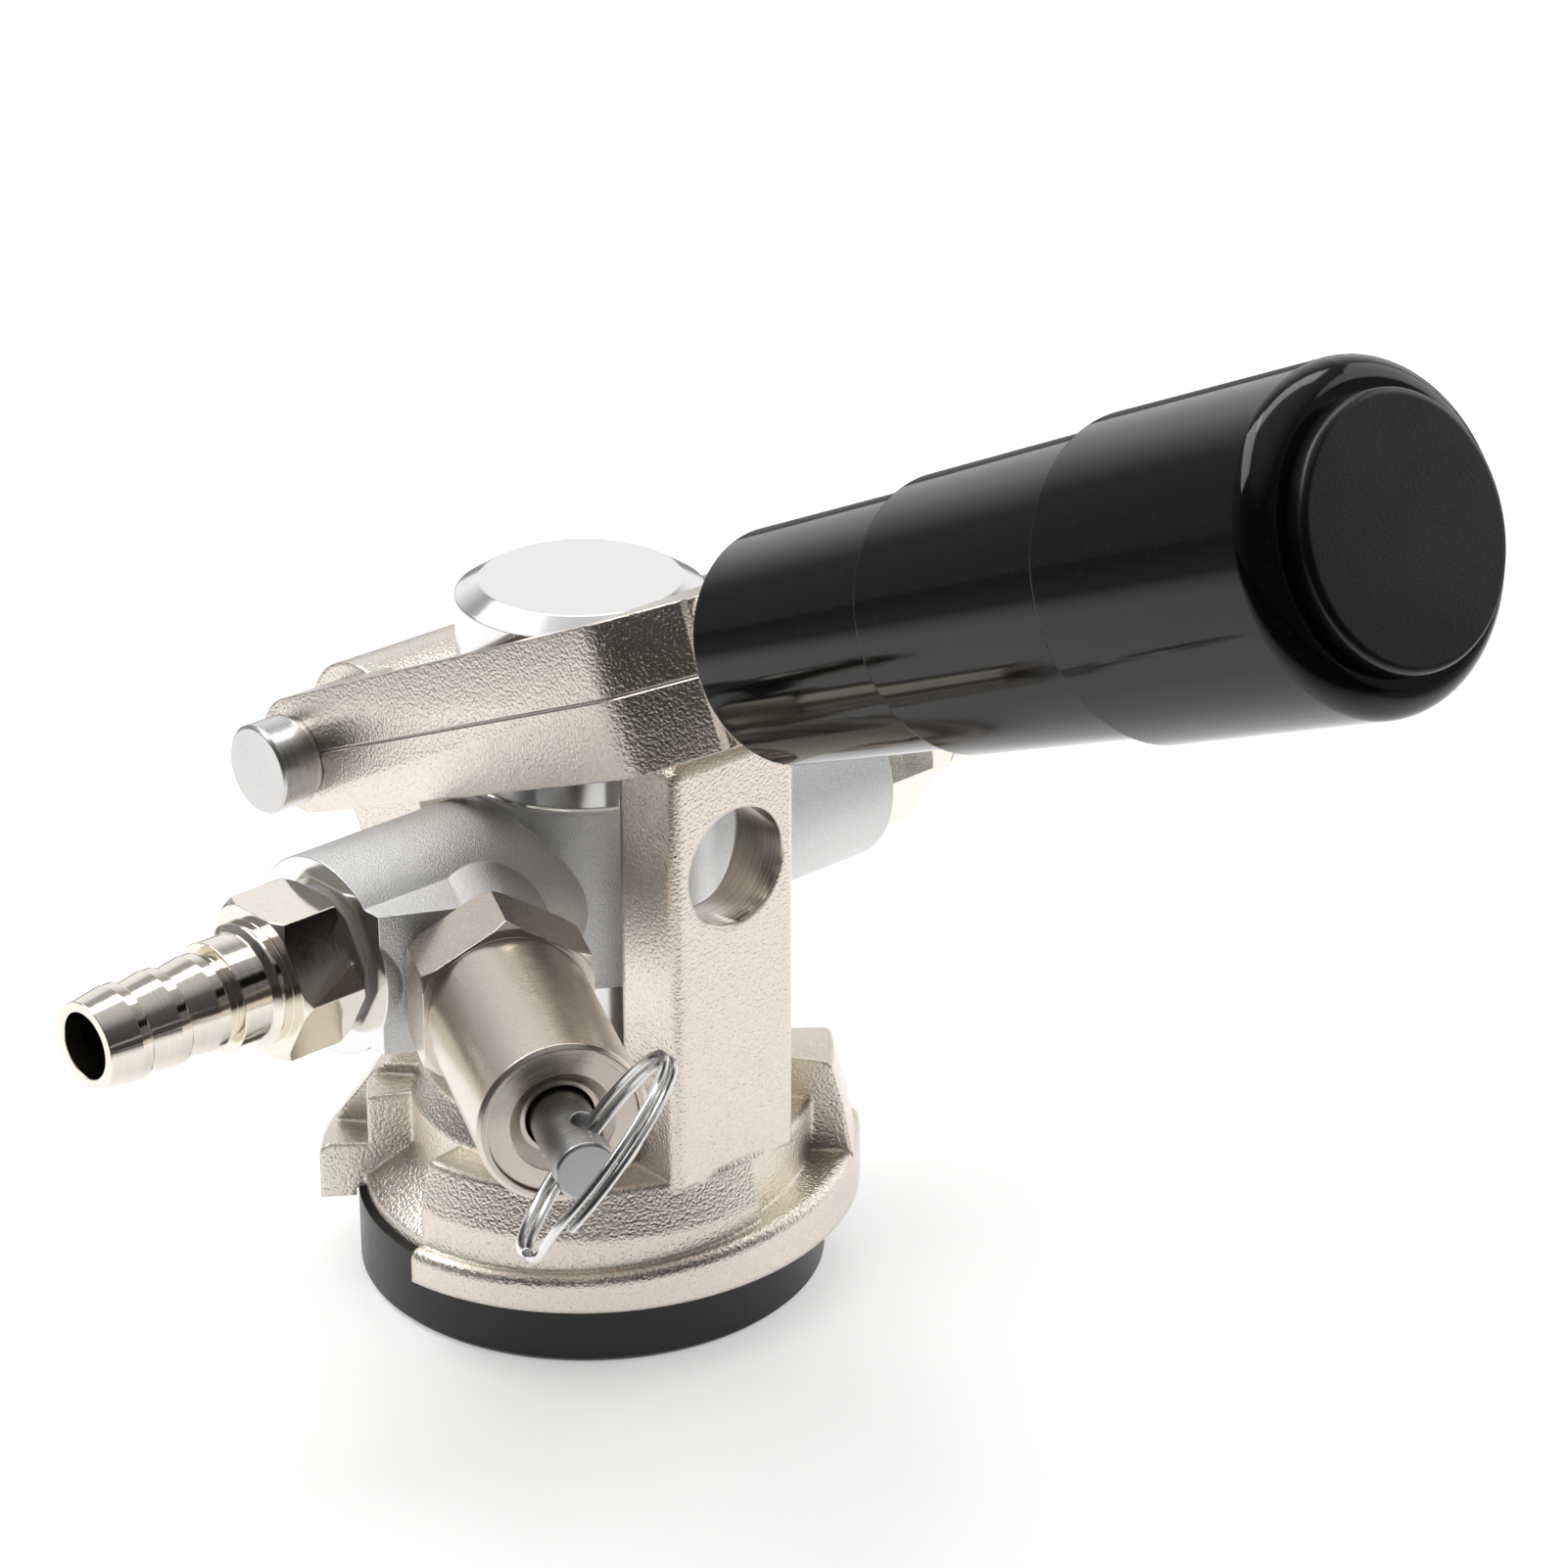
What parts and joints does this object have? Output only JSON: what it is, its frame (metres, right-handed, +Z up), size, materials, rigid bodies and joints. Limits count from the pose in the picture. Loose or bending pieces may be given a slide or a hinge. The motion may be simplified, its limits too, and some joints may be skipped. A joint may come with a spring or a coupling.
{
  "type": "keg coupler",
  "caption": "Lever-handle keg coupler with a sliding probe, two hose barbs, a pull-ring relief valve and a black base cap.",
  "frame": {"origin": "centre of the underside of the base cap, on the probe's axis", "axes": "+Z up along the probe, +X towards the handle, -Y towards the gas arm, +Y towards the beer arm"},
  "size_m": [0.1831, 0.1562, 0.1561],
  "materials": {
    "cast_nickel": "satin",
    "cast_steel": "satin",
    "bright_nickel": "polished",
    "satin_nickel": "satin",
    "dull_steel": "satin",
    "spring_steel": "polished",
    "black_plastic": "gloss",
    "black_cap": "satin",
    "black_rubber": "matte",
    "grey_fibre": "matte"
  },
  "bodies": {
    "housing": {"housing": "cast_nickel", "body_gasket": "black_rubber"},
    "base_cap": {"base_cap": "black_cap"},
    "lever": {"lever_fork": "cast_nickel", "pivot_pin": "dull_steel", "pivot_clip": "spring_steel", "trunnion_pins": "dull_steel", "spring_bush": "dull_steel"},
    "probe": {"probe_body": "cast_steel", "tip_seal": "black_rubber", "probe_rings": "black_rubber", "ball_seat": "dull_steel", "gas_flap_valve": "black_rubber", "gas_hose_barb": "bright_nickel", "beer_hose_barb": "bright_nickel", "gas_barb_washer": "grey_fibre", "beer_barb_washer": "grey_fibre", "relief_body": "satin_nickel", "relief_washer": "grey_fibre", "relief_end_ring": "satin_nickel", "relief_spring": "spring_steel"},
    "plunger": {"lock_plunger": "dull_steel", "rod_nut": "dull_steel", "lock_spring": "spring_steel"},
    "grip": {"grip": "black_plastic", "grip_end_cap": "black_plastic"},
    "relief_stem": {"relief_stem": "dull_steel", "relief_seal": "black_rubber"},
    "split_ring": {"split_ring": "spring_steel"},
    "check_ball": {"check_ball": "spring_steel"}
  },
  "joints": [
    {"name": "base_cap_slide", "type": "slide", "parent": "housing", "child": "base_cap", "axis": [0, 0, -1], "range_m": [0, 0.012]},
    {"name": "lever_hinge", "type": "hinge", "parent": "housing", "child": "lever", "pos_m": [-0.03466, 0, 0.066], "axis": [0, 1, 0], "range_deg": [0, 24.08]},
    {"name": "probe_slide", "type": "slide", "parent": "housing", "child": "probe", "axis": [0, 0, -1], "range_m": [0, 0.0149]},
    {"name": "plunger_slide", "type": "slide", "parent": "lever", "child": "plunger", "axis": [0.913, 0, 0.408], "range_m": [-0.0075, 0], "deforming": ["lock_spring"]},
    {"name": "grip_slide", "type": "slide", "parent": "lever", "child": "grip", "axis": [0.913, 0, 0.408], "range_m": [0, 0.006]},
    {"name": "relief_slide", "type": "slide", "parent": "probe", "child": "relief_stem", "axis": [0.891, -0.454, 0], "range_m": [0, 0.0025], "stiffness_N_per_m": 800, "deforming": ["relief_spring"]},
    {"name": "split_ring_hinge", "type": "hinge", "parent": "relief_stem", "child": "split_ring", "pos_m": [0.05881, -0.05146, 0.05743], "axis": [0.2857, 0.5607, 0.7771], "range_deg": [-75, 60]},
    {"name": "check_ball_slide", "type": "slide", "parent": "probe", "child": "check_ball", "axis": [0, 1, 0], "range_m": [0, 0.0023]}
  ],
  "couplings": [
    {"joint": "probe_slide", "follows": "lever_hinge", "m_per_rad": 0.03524}
  ]
}
